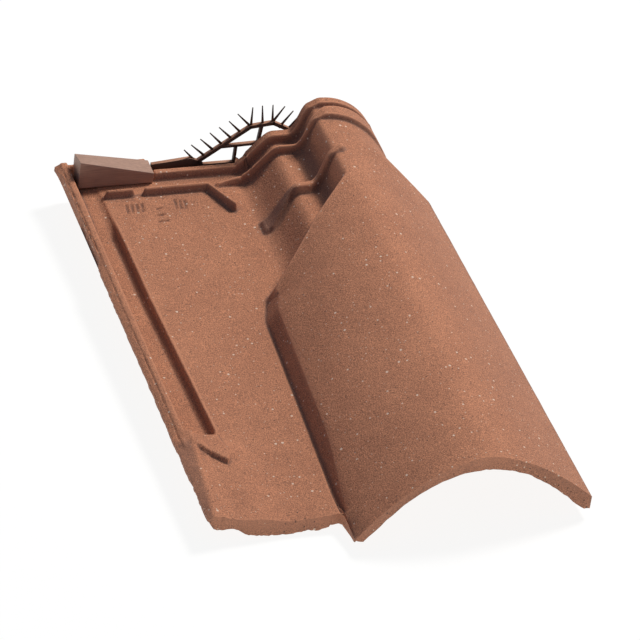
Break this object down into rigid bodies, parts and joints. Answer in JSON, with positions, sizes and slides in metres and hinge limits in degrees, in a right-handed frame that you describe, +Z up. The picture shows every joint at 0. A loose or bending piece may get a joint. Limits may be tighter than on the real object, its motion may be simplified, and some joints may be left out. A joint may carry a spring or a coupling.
{
  "type": "roof vent tile",
  "caption": "Clay roof tile with a shallow pan, a tapering roll and a side interlock, with a brown plastic vent comb of bird spikes and a wedge block behind its head rib.",
  "frame": {"origin": "middle of the footprint, on the level that the nibs and the tail rib stand on", "axes": "+Y from the tail towards the head, +X from the interlock towards the roll, +Z up; the tile is pitched 1.5 degrees about X, nibs and tail rib level"},
  "size_m": [0.3004, 0.4814, 0.0928],
  "materials": {
    "clay": "fired clay, matt, fine grain with pale specks",
    "plastic": "brown moulded plastic, satin"
  },
  "bodies": {
    "root": {"tile_body": "clay", "spacer_block": "plastic", "vent_comb": "plastic"}
  },
  "joints": []
}
